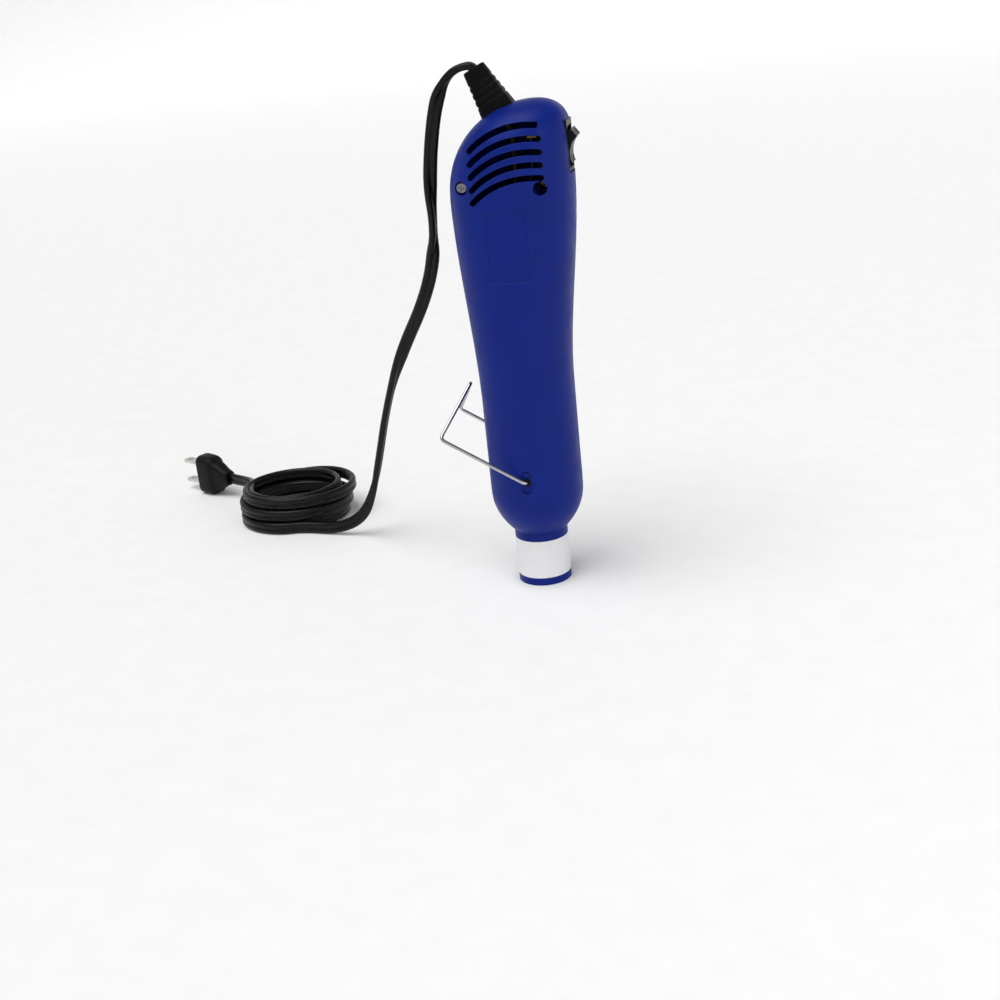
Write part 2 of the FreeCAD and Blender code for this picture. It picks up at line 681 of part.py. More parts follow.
def motor_mount():
    inner = DUCT_R - DUCT_WALL
    cup_r = MOTOR_R + 1.4
    outer = ring(DUCT_R, inner, MOUNT_FOOT, MOUNT_TOP)
    cup = cylinder(cup_r, MOUNT_TOP - MOUNT_FOOT, V(0, 0, MOUNT_FOOT))
    cup = cup.cut(cylinder(MOTOR_R, 20, V(0, 0, MOTOR_FOOT)))
    cup = cup.cut(cylinder(BUSH_R + 1.0, 20, V(0, 0, MOUNT_FOOT - 5)))
    vanes = []
    for k in range(6):
        vane = box(cup_r - 0.3, inner + 0.3, -0.5, 0.5, MOUNT_FOOT, MOUNT_TOP)
        vanes.append(turned(vane, 30 + 60 * k))
    return join([outer, cup] + vanes)


def motor_can():
    wall = MOTOR_R - CAN_WALL
    floor = MOTOR_FOOT + CAN_WALL
    boss = BUSH_R + 0.9
    boss_foot = floor - BUSH_LENGTH
    return revolve([
        (BUSH_R, boss_foot), (boss, boss_foot), (boss, MOTOR_FOOT), (MOTOR_R, MOTOR_FOOT),
        (MOTOR_R, MOTOR_TOP), (wall, MOTOR_TOP), (wall, floor), (BUSH_R, floor),
    ])


def motor_bushes():
    foot = MOTOR_FOOT + CAN_WALL - BUSH_LENGTH
    bushes = []
    for z in (foot, MOTOR_TOP):
        bushes.append(ring(BUSH_R, SHAFT_R + BUSH_GAP, z, z + BUSH_LENGTH))
    return group(bushes)


def motor_end_cap():
    cap = cylinder(MOTOR_R, CAP_THICK, V(0, 0, MOTOR_TOP))
    cap = cap.cut(cylinder(BUSH_R, BUSH_LENGTH, V(0, 0, MOTOR_TOP)))
    return cap.cut(cylinder(SHAFT_R + 0.3, CAP_THICK + 2, V(0, 0, MOTOR_TOP)))


def motor_shaft():
    foot = FAN_FOOT - 1.0
    return cylinder(SHAFT_R, MOTOR_TOP + BUSH_LENGTH - foot, V(0, 0, foot))


def rotor_span():
    foot = MOTOR_FOOT + CAN_WALL + 6.0
    return foot, foot + ROTOR_STACK


def motor_magnets():
    low, high = rotor_span()
    outer = MOTOR_R - CAN_WALL
    tube = ring(outer, outer - MAGNET_THICK, low - 1.5, high + 1.5)
    gap = box(-4, 4, -20, 20, low - 5, high + 5)
    return tube.cut(gap)


def rotor_slots(reach, half, low, high):
    slot = box(4.0, reach, -half, half, low, high)
    return [turned(slot, 120 * k) for k in range(3)]


def rotor_core():
    low, high = rotor_span()
    radius = MOTOR_R - CAN_WALL - MAGNET_THICK - AIR_GAP
    body = ring(radius, SHAFT_R, low, high)
    return body.cut(rotor_slots(radius + 1, 1.5, low - 1, high + 1))


def rotor_windings():
    low, high = rotor_span()
    radius = MOTOR_R - CAN_WALL - MAGNET_THICK - AIR_GAP - 0.8
    bars = rotor_slots(radius - 0.3, 1.5, low, high)
    ends = [ring(radius, 2.4, low - 2.2, low), ring(radius, 2.4, high, high + 2.2)]
    return join(bars + ends)


def commutator():
    foot = rotor_span()[1]
    sleeve = ring(2.3, SHAFT_R, foot, foot + 2.4)
    return join([sleeve, ring(COMMUTATOR_R, SHAFT_R, foot + 2.4, MOTOR_TOP - 0.8)])


def motor_brushes():
    foot = rotor_span()[1] + 3.0
    brushes = []
    for side in (-1, 1):
        x0, x1 = sorted((side * (COMMUTATOR_R + SLIP), side * (COMMUTATOR_R + 1.8)))
        brushes.append(box(x0, x1, -1.2, 1.2, foot, MOTOR_TOP))
    return group(brushes)


def motor_terminals():
    tabs = []
    for side in (-1, 1):
        x = side * 8.5
        tabs.append(box(x - 0.3, x + 0.3, -1.6, 1.6, CAP_TOP, BOARD_Z))
    return group(tabs)


def rectifier_board():
    half = BOARD_SIDE / 2
    return box(-half, half, -half, half, BOARD_Z, BOARD_TOP)


def diodes():
    body_r = 1.3
    z = BOARD_TOP + body_r + 0.3
    made = []
    for k in range(4):
        x = -7.2 + 2.9 * k
        body = cylinder(body_r, 5.2, V(x, -2.6, z), Y)
        wire = cylinder(0.35, 9.0, V(x, -4.5, z), Y)
        legs = [cylinder(0.25, z - BOARD_TOP, V(x, y, BOARD_TOP)) for y in (-4.0, 4.0)]
        made.append(join([body, wire] + legs))
    return group(made)


def suppressor_capacitor():
    z = BOARD_TOP + 4.2
    disc = cylinder(3.4, 2.4, V(5.6, 0, z), X)
    legs = [cylinder(0.35, z - BOARD_TOP, V(6.8, y, BOARD_TOP)) for y in (-2.2, 2.2)]
    return join([disc] + legs)


# ---- switch ----------------------------------------------------------------
def switch_body():
    w = SWITCH_WIDTH / 2
    h = SWITCH_LENGTH / 2
    seat = SWITCH_FACE_X - BEZEL_THICK
    bezel = box(seat, SWITCH_FACE_X, -w, w, SWITCH_Z - h, SWITCH_Z + h)
    bezel = bezel.makeFillet(0.5, [e for e in bezel.Edges if e.BoundBox.XMin > seat + 0.5])
    w -= BEZEL_LIP
    h -= BEZEL_LIP
    body = box(SWITCH_BACK_X, seat, -w, w, SWITCH_Z - h, SWITCH_Z + h)
    w = ROCKER_WIDTH / 2 + ROCKER_GAP
    h = ROCKER_LENGTH / 2 + ROCKER_GAP + 0.15
    well = box(ROCKER_X - 5.5, SWITCH_FACE_X + 1, -w, w, ROCKER_Z - h, ROCKER_Z + h)
    pins = cylinder(ROCKER_PIN_R + PIN_GAP, ROCKER_WIDTH + 2.2,
                    V(ROCKER_X, -ROCKER_WIDTH / 2 - 1.1, ROCKER_Z), Y)
    return join([bezel, body]).cut([well, pins])


def switch_rocker():
    """Rocker with a hollowed top and serrated ends, turned on its pins."""
    end = ROCKER_LENGTH / 2
    peak = V(ROCKER_PEAK, 0, end - ROCKER_END_SLOPE)
    foot = V(2.0, 0, end)
    low_peak = V(peak.x, 0, -peak.z)
    top = Part.Arc(peak, V(ROCKER_DIP, 0, 0), low_peak)
    corners = [low_peak, V(foot.x, 0, -foot.z), V(-2.5, 0, -3), V(-2.5, 0, 3), foot, peak]
    edges = [top.toShape()]
    for a, b in zip(corners, corners[1:]):
        edges.append(Part.LineSegment(a, b).toShape())
    face = Part.Face(Part.Wire(edges))
    half = ROCKER_WIDTH / 2
    face.translate(V(0, -half, 0))
    body = face.extrude(V(0, ROCKER_WIDTH, 0))
    rib = SERRATION_R * 2.4
    way = (foot - peak).normalize()
    places = [peak + way * (rib * (k + 1)) for k in range(4)]
    span = top.LastParameter - top.FirstParameter
    places += [top.value(top.FirstParameter + span * 0.07 * (k + 1)) for k in range(3)]
    cuts = []
    for at in places:
        for up in (1, -1):
            start = V(at.x, SERRATION_MARGIN - half, up * at.z)
            cuts.append(cylinder(SERRATION_R, ROCKER_WIDTH - 2 * SERRATION_MARGIN, start, Y))
    pin = cylinder(ROCKER_PIN_R, ROCKER_WIDTH + 1.8, V(0, -half - 0.9, 0), Y)
    rocker = join([body.cut(cuts), pin])
    rocker = turned(rocker, ROCKER_TILT, V(0, 0, 0), Y)
    rocker.translate(V(ROCKER_X, 0, ROCKER_Z))
    return rocker


def terminal_levels():
    return SWITCH_Z - 5.0, SWITCH_Z + 5.0


def switch_terminals():
    tabs = []
    for z in terminal_levels():
        tabs.append(box(SWITCH_BACK_X - 5.0, SWITCH_BACK_X, -2.4, 2.4, z - 0.4, z + 0.4))
    return group(tabs)


# ---- fasteners and cord clamp ----------------------------------------------
def pan_screw(head_r, head_h, shank_r, length):
    """Pan-head screw, head towards -Y, its underside at the origin."""
    head = cylinder(head_r, head_h, V(0, -head_h, 0), Y)
    head = head.makeFillet(0.45, [e for e in head.Edges if e.BoundBox.YMax < -head_h + 0.1])
    arm = head_r * 0.6
    slot = 0.24 * head_r
    cross = [box(-arm, arm, -head_h - 1, -head_h * 0.45, -slot / 2, slot / 2),
             box(-slot / 2, slot / 2, -head_h - 1, -head_h * 0.45, -arm, arm)]
    return join([head, cylinder(shank_r, length, V(0, 0, 0), Y)]).cut(cross)


def housing_screws():
    screws = []
    for x, drop, depth, _ in (FRONT_SCREW, BACK_SCREW):
        screw = pan_screw(SCREW_HEAD_R, SCREW_HEAD, SCREW_R, depth + 7.5)
        screw = turned(screw, 20, V(0, 0, 0), Y)
        screw.translate(V(x, -depth, TOOL_LENGTH - drop))
        screws.append(screw)
    return group(screws)


def cord_clamp():
    half = CLAMP_POST_X + CLAMP_POST_R + 0.4
    x = CLAMP_CORD_X
    z = CLAMP_HEIGHT / 2
    bar = box(x - half, x + half, -INNER_CORD_R - 2.5, CLAMP_SEAT_Y, CLAMP_Z - z, CLAMP_Z + z)
    groove = cylinder(INNER_CORD_R, 20, V(x, 0, CLAMP_Z - 10))
    mouth = box(x - INNER_CORD_R, x + INNER_CORD_R, 0, 9, CLAMP_Z - 10, CLAMP_Z + 10)
    holes = []
    for side in (-1, 1):
        at = V(x + side * CLAMP_POST_X, -9, CLAMP_Z)
        holes.append(cylinder(CLAMP_SCREW_R + 0.2, 20, at, Y))
    return bar.cut([groove, mouth] + holes)


def clamp_screws():
    screws = []
    for side in (-1, 1):
        screw = pan_screw(1.9, 1.3, CLAMP_SCREW_R, INNER_CORD_R + 2.5 + 7.0)
        screw.translate(V(CLAMP_CORD_X + side * CLAMP_POST_X, -INNER_CORD_R - 2.5, CLAMP_Z))
        screws.append(screw)
    return group(screws)


# ---- inner leads -----------------------------------------------------------
def cord_foot():
    return CLAMP_Z - CLAMP_HEIGHT / 2 - 1.5


def cord_inside():
    bend = RELIEF_BACK - RELIEF_DIR * ((CLAMP_CORD_X - RELIEF_BACK.x) / -RELIEF_DIR.x)
    route = [RELIEF_BACK, bend, V(CLAMP_CORD_X, 0, cord_foot())]
    return tube_along(route, INNER_CORD_R)[0]


def lead_line():
    low = terminal_levels()[0] - 0.4
    x = SWITCH_BACK_X - 3.8
    foot = cord_foot()
    route = [(CLAMP_CORD_X + 1.1, 0, foot), (CLAMP_CORD_X + 1.1, 0, foot - 2.6),
             (8.0, -8.0, foot - 2.2), (11.0, -10.0, foot + 7.5), (x, -7.0, low - 8.0),
             (x, -1.5, low - 4.0), (x, -1.5, low)]
    return tube_along(route, LEAD_R)[0]


def lead_switched():
    high = terminal_levels()[1] - 0.4
    x = SWITCH_BACK_X - 3.8
    route = [(x, 1.5, high), (x, 1.5, high - 2.6), (9.0, 6.5, high - 8.0),
             (-1.0, 9.0, high - 16.0), (-7.5, 9.0, high - 26.0), (-8.4, 7.4, BOARD_TOP + 8),
             (-8.4, 7.4, BOARD_TOP)]
    return tube_along(route, LEAD_R)[0]


def lead_neutral():
    foot = cord_foot()
    route = [(CLAMP_CORD_X - 1.1, 0, foot), (CLAMP_CORD_X - 1.1, 0, foot - 2.4),
             (3.4, 7.2, foot - 4.6), (3.4, 7.8, BOARD_TOP + 2.5), (3.4, 7.8, BOARD_TOP)]
    return tube_along(route, LEAD_R)[0]


def heater_leads():
    leads = []
    for side in (-1, 1):
        low = HOLDER_TOP + LEAD_R
        route = [(side * BOARD_SIDE / 2, 0, BOARD_MIDDLE), (side * LEAD_LINE_R, 0, BOARD_MIDDLE),
                 (side * LEAD_LINE_R, 0, low), (side * 5.0, 0, low)]
        leads.append(tube_along(route, LEAD_R, 2.2)[0])
    return group(leads)


# ---- wire stand ------------------------------------------------------------
def wire_stand():
    angle = math.radians(STAND_ANGLE)
    leg = V(-math.sin(angle), 0, -math.cos(angle))
    vee = V(-math.cos(angle), 0, math.sin(angle))
    pivot = V(STAND_PIVOT_X, 0, STAND_PIVOT_Z)
    corner = pivot + leg * STAND_LEG
    apex = corner + vee * STAND_VEE
    inner = STAND_Y - STAND_PIN_IN
    route = [pivot - Y * inner, pivot - Y * STAND_Y, corner - Y * STAND_Y, apex,
             corner + Y * STAND_Y, pivot + Y * STAND_Y, pivot + Y * inner]
    return tube_along(route, STAND_WIRE_R, STAND_BEND_R)[0]


def stand_bushes():
    inner = STAND_Y - STAND_PIN_IN
    bushes = []
    for side in (-1, 1):
        at = V(STAND_PIVOT_X, side * inner, STAND_PIVOT_Z)
        bush = cylinder(STAND_BUSH_R, RECESS_Y - inner, at, V(0, side, 0))
        bushes.append(bush.cut(cylinder(STAND_BORE_R, 20, at - V(0, side * 5, 0), V(0, side, 0))))
    return group(bushes)


# ---- strain relief, cord and plug ------------------------------------------
def relief_section(share):
    """Section of the tapered part, from 0 at the dome to 1 at the tip."""
    width = RELIEF_ROOT[0] + (RELIEF_TIP[0] - RELIEF_ROOT[0]) * share
    thick = RELIEF_ROOT[1] + (RELIEF_TIP[1] - RELIEF_ROOT[1]) * share
    at = RELIEF_AT + RELIEF_DIR * (RELIEF_LENGTH * share)
    return rounded_rect_wire(width, thick, 3.0, at, RELIEF_DIR)


def strain_relief():
    taper = Part.makeLoft([relief_section(-0.2), relief_section(1.0)], True, True)
    taper = taper.cut(body_form(0))
    neck_width = RELIEF_ROOT[0] - 2 * RELIEF_GROOVE
    neck_thick = RELIEF_ROOT[1] - 2 * RELIEF_GROOVE
    neck = rounded_rect_wire(neck_width, neck_thick, 2.5, RELIEF_BACK, RELIEF_DIR)
    neck = Part.Face(neck).extrude(RELIEF_DIR * (WALL + RELIEF_INSIDE + 2.5))
    flange = rounded_rect_wire(RELIEF_ROOT[0], RELIEF_ROOT[1], 3.0, RELIEF_BACK, RELIEF_DIR)
    flange = Part.Face(flange).extrude(RELIEF_DIR * (WALL + RELIEF_INSIDE))
    flange = flange.common(body_form(WALL))
    return join([taper, neck, flange])


def cord_coil():
    def disc(size):
        curve = Part.Ellipse(COIL_AT, size[0], size[1])
        return Part.Face(Part.Wire(curve.toShape())).extrude(V(0, 0, COIL_HEIGHT))

    body = disc(COIL_OUTER).cut(disc(COIL_INNER))
    rims = [e for e in body.Edges if e.BoundBox.ZLength < 0.01]
    return body.makeFillet(COIL_ROUND, rims)


def cord_lead(coil):
    route = [RELIEF_END, RELIEF_END + RELIEF_DIR * EXIT_RUN] + LEAD_ROUTE
    tube, length, radii = tube_along(route, CORD_R)
    print("cord lead", round(length, 1), "radii", [round(r, 1) for r in radii])
    return tube.cut(coil)


def plug_way():
    turn = math.radians(PLUG_TURN)
    return V(math.cos(turn), math.sin(turn), 0)


def cord_tail(coil):
    exit_point = PLUG_FACE - plug_way() * (PLUG_FLANGE + PLUG_NECK)
    route = TAIL_ROUTE + [exit_point - plug_way() * PLUG_LEAD, exit_point]
    tube, length, radii = tube_along(route, CORD_R)
    print("cord tail", round(length, 1), "radii", [round(r, 1) for r in radii])
    return tube.cut(coil)


def place_plug(shape):
    placed = turned(shape, PLUG_TURN - 180)
    placed.translate(PLUG_FACE)
    return placed


def blades_shape():
    blades = []
    for side in (-1, 1):
        z = side * BLADE_SPACING / 2
        blade = box(-BLADE_LENGTH, PLUG_FLANGE / 2, -BLADE_WIDTH / 2, BLADE_WIDTH / 2,
                    z - BLADE_THICK / 2, z + BLADE_THICK / 2)
        tip = [e for e in blade.Edges if e.BoundBox.XMax < -BLADE_LENGTH + 0.01 and e.Length < 2]
        blade = blade.makeChamfer(1.4, tip)
        eye = cylinder(1.6, 6, V(-BLADE_LENGTH + 4.6, 0, z - 3))
        blades.append(blade.cut(eye))
    return group(blades)


def plug_body():
    def at(x, width, thick, corner):
        return rounded_rect_wire(width, thick, corner, V(x, 0, 0), X)

    end = PLUG_FLANGE + PLUG_NECK
    flange = Part.makeLoft([at(0, PLUG_HEIGHT, PLUG_THICK, PLUG_CORNER),
                            at(PLUG_FLANGE, PLUG_HEIGHT - 1, PLUG_THICK - 0.6, PLUG_CORNER)],
                           True, True)
    neck = Part.makeLoft([at(PLUG_FLANGE, PLUG_HEIGHT - 7, PLUG_THICK - 3, PLUG_CORNER),
                          at(end, CORD_WIDTH + 1.6, CORD_WIDTH + 1.0, PLUG_CORNER)], True, True)
    return place_plug(join([flange, neck]).cut(blades_shape()))


def plug_blades():
    return place_plug(blades_shape())


# ---- build -----------------------------------------------------------------
def main():
    os.makedirs("parts", exist_ok=True)
    coil = cord_coil()
    shapes = shells()
    shapes["cord_coil"] = coil
    shapes["cord_lead"] = cord_lead(coil)
    shapes["cord_tail"] = cord_tail(coil)
    for make in (
        housing_screws, nose_guard, nose_label, nozzle_tube, outlet_grille, mica_sleeve,
        element_former, heating_coil, element_holder, thermal_fuse, air_duct, fan_impeller,
        motor_mount, motor_can, motor_magnets, rotor_core, rotor_windings, commutator,
        motor_brushes, motor_shaft, motor_bushes, motor_end_cap, motor_terminals,
        rectifier_board, diodes, suppressor_capacitor, switch_body, switch_rocker,
        switch_terminals, strain_relief, cord_inside, cord_clamp, clamp_screws, lead_line,
        lead_switched, lead_neutral, heater_leads, wire_stand, stand_bushes, plug_body,
        plug_blades,
    ):
        shapes[make.__name__] = make()
    for name, shape in shapes.items():
        if not shape.isValid() or shape.Volume <= 0:
            raise ValueError(name + " is not a valid solid")
        shape.exportStep("parts/" + name + ".step")
        print(name, "solids", len(shape.Solids), "volume", round(shape.Volume, 1))


if __name__ == "__main__":
    main()
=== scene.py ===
import json
import math

import bpy
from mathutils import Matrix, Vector


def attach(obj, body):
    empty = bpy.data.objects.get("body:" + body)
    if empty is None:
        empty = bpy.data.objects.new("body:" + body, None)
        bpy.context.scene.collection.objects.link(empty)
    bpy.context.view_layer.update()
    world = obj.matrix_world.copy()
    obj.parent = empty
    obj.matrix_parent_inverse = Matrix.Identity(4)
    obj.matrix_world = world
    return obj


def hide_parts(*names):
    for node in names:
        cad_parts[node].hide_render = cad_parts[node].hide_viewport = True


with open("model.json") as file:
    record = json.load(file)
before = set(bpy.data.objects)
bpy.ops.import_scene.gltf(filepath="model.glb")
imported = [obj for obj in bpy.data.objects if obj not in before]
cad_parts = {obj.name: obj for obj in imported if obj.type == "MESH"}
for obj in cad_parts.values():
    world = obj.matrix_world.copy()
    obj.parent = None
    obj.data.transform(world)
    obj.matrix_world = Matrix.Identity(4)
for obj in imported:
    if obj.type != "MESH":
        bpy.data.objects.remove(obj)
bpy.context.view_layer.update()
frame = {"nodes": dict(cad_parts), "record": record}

NODES = frame["nodes"]
MM = 0.001
X, Y, Z = Vector((1, 0, 0)), Vector((0, 1, 0)), Vector((0, 0, 1))


def mm(*p):
    return Vector(p) * MM


# ---- camera, floor and light -------------------------------------------------
CAMERA_AT = (0.12527, -0.66938, 0.29733)
CAMERA_TURN = (69.472, 5.602, 10.154)      # degrees about X, Y and Z
CAMERA_LENS = 51.48                        # mm, on a 36 mm wide sensor
KEY_WAY = Vector((0.24, 0.30, -1.0))
SIDE_AT = (0.9, -0.75, 0.6)
SIDE_TARGET = (-0.02, 0.0, 0.17)
FLOOR_R = 4.0
BEND_R = 1.5                               # where the floor curves up
BEND_STEPS = 12
WALL_TOP = 3.0
FLOOR_SIDES = 96


def make_camera():
    data = bpy.data.cameras.new("camera")
    data.sensor_width = 36.0
    data.lens = CAMERA_LENS
    data.clip_start, data.clip_end = 0.02, 50.0
    cam = bpy.data.objects.new("camera", data)
    bpy.context.scene.collection.objects.link(cam)
    cam.location = CAMERA_AT
    cam.rotation_euler = [math.radians(a) for a in CAMERA_TURN]
    bpy.context.scene.camera = cam


def area_light(name, at, target, size, watts):
    data = bpy.data.lights.new(name, "AREA")
    data.shape, data.size, data.energy = "DISK", size, watts
    lamp = bpy.data.objects.new(name, data)
    bpy.context.scene.collection.objects.link(lamp)
    lamp.location = at
    way = Vector(target) - Vector(at)
    lamp.rotation_euler = way.to_track_quat("-Z", "Y").to_euler()


def make_world():
    world = bpy.data.worlds.new("studio")
    world.use_nodes = True
    back = world.node_tree.nodes["Background"]
    back.inputs["Color"].default_value = (1, 1, 1, 1)
    back.inputs["Strength"].default_value = 0.3
    bpy.context.scene.world = world
    bpy.context.scene.view_settings.view_transform = "Standard"
    sun = bpy.data.lights.new("key", "SUN")
    sun.energy, sun.angle = 2.1, math.radians(50)
    lamp = bpy.data.objects.new("key", sun)
    bpy.context.scene.collection.objects.link(lamp)
    lamp.rotation_euler = KEY_WAY.to_track_quat("-Z", "Y").to_euler()
    area_light("side", SIDE_AT, SIDE_TARGET, 0.35, 1.5)


def make_floor():
    """A flat disc that curves up into a round wall, well outside the views."""
    profile = [(FLOOR_R, 0.0)]
    for k in range(1, BEND_STEPS + 1):
        a = math.radians(90 * k / BEND_STEPS)
        profile.append((FLOOR_R + BEND_R * math.sin(a), BEND_R - BEND_R * math.cos(a)))
    profile.append((FLOOR_R + BEND_R, WALL_TOP))
    count = FLOOR_SIDES
    verts, faces = [], []
    for r, z in profile:
        for k in range(count):
            a = 2 * math.pi * k / count
            verts.append((r * math.cos(a), r * math.sin(a), z))
    for row in range(len(profile) - 1):
        for k in range(count):
            a, b = row * count + k, row * count + (k + 1) % count
            faces.append((a, a + count, b + count, b))
    faces.append(tuple(range(count)))
    mesh = bpy.data.meshes.new("floor")
    mesh.from_pydata(verts, [], faces)
    mesh.shade_smooth()
    floor = bpy.data.objects.new("floor", mesh)
    bpy.context.scene.collection.objects.link(floor)
    return floor


# ---- materials ---------------------------------------------------------------
class Nodes:
    """A node tree with short calls for adding and joining its nodes."""

    def __init__(self, name):
        self.material = bpy.data.materials.new(name)
        self.material.use_nodes = True
        self.tree = self.material.node_tree
        self.shader = self.tree.nodes["Principled BSDF"]
        self.place = self.tree.nodes.new("ShaderNodeTexCoord").outputs["Object"]

    def link(self, a, b):
        self.tree.links.new(a, b)

    def add(self, kind, **values):
        node = self.tree.nodes.new("ShaderNode" + kind)
        for key, value in values.items():
            if hasattr(node, key):
                setattr(node, key, value)
            else:
                socket = node.inputs[key.replace("_", " ")]
                if isinstance(value, bpy.types.NodeSocket):
                    self.link(value, socket)
                else:
                    socket.default_value = value
        return node

    def noise(self, size, detail=3.0, rough=0.55, stretch=None):
        """Noise with features of the given size in metres."""
        at = self.place
        if stretch:
            at = self.add("Mapping", Vector=at, Scale=stretch).outputs[0]
        made = self.add("TexNoise", Vector=at, Scale=1.0 / size, Detail=detail,
                        Roughness=rough)
        return made.outputs["Fac"]

    def ramp(self, value, low, high, start=0.35, end=0.65):
        node = self.add("MapRange", Value=value)
        for key, number in (("From Min", start), ("From Max", end),
                            ("To Min", low), ("To Max", high)):
            node.inputs[key].default_value = number
        return node.outputs["Result"]

    def mix(self, share, a, b):
        node = self.add("Mix", data_type="RGBA")
        for index, value in ((0, share), (6, a), (7, b)):
            socket = node.inputs[index]
            if isinstance(value, bpy.types.NodeSocket):
                self.link(value, socket)
            else:
                socket.default_value = value if index == 0 else (*value, 1)
        return node.outputs[2]

    def bump(self, height, strength, distance, normal=None):
        node = self.add("Bump", Height=height)
        node.inputs["Strength"].default_value = strength
        node.inputs["Distance"].default_value = distance
        if normal is not None:
            self.link(normal, node.inputs["Normal"])
        return node.outputs[0]

    def edges(self, radius):
        """Near 1 on sharp outer and inner edges, from the rounded normal."""
        round_normal = self.add("Bevel", samples=4, Radius=radius).outputs[0]
        flat = self.add("NewGeometry").outputs["Normal"]
        dot = self.add("VectorMath", operation="DOT_PRODUCT")
        self.link(round_normal, dot.inputs[0])
        self.link(flat, dot.inputs[1])
        return self.ramp(dot.outputs["Value"], 1.0, 0.0, 0.72, 0.985), round_normal


def scaled(colour, share):
    return tuple(min(1.0, c * share) for c in colour)


def finish(name, colour, rough, metal=0.0, mottle=0.12, spread=0.08, grain=0.0006,
           depth=0.00002, strength=0.25, coat=0.0, scratch=0.0, edge_highlight=None, specular=0.5):
    """A procedural finish: mottled colour, uneven gloss, fine grain and painted highlights on sharp
    edges.
    """
    n = Nodes(name)
    cloud = n.noise(0.018)
    small = n.noise(grain, 4.0)
    base = n.mix(n.ramp(cloud, 0.0, 1.0), scaled(colour, 1 - mottle), scaled(colour, 1 + mottle))
    shine = n.ramp(n.noise(0.009, 5.0, 0.65), rough - spread, rough + spread)
    normal = None
    # Painted highlight: sharp edges are mixed towards a lighter colour, broken up by noise.
    if edge_highlight:
        radius, highlight_colour = edge_highlight
        highlight_mask, normal = n.edges(radius)
        patchy_highlight = n.add("Math", operation="MULTIPLY", use_clamp=True)
        n.link(highlight_mask, patchy_highlight.inputs[0])
        n.link(n.ramp(n.noise(0.004, 4.0), 0.25, 1.0), patchy_highlight.inputs[1])
        base = n.mix(patchy_highlight.outputs[0], base, highlight_colour)
    normal = n.bump(small, strength, depth, normal)
    if scratch:
        lines = n.noise(0.0012, 2.0, 0.5, stretch=(1.0, 1.0, 0.05))
        normal = n.bump(lines, scratch, 0.00002, normal)
    n.link(base, n.shader.inputs["Base Color"])
    n.link(shine, n.shader.inputs["Roughness"])
    n.link(normal, n.shader.inputs["Normal"])
    n.shader.inputs["Metallic"].default_value = metal
    if coat:
        n.shader.inputs["Coat Weight"].default_value = coat
        n.shader.inputs["Coat Roughness"].default_value = 0.2
    n.shader.inputs["Specular IOR Level"].default_value = specular
    return n.material


BLUE = (0.0022, 0.0145, 0.195)
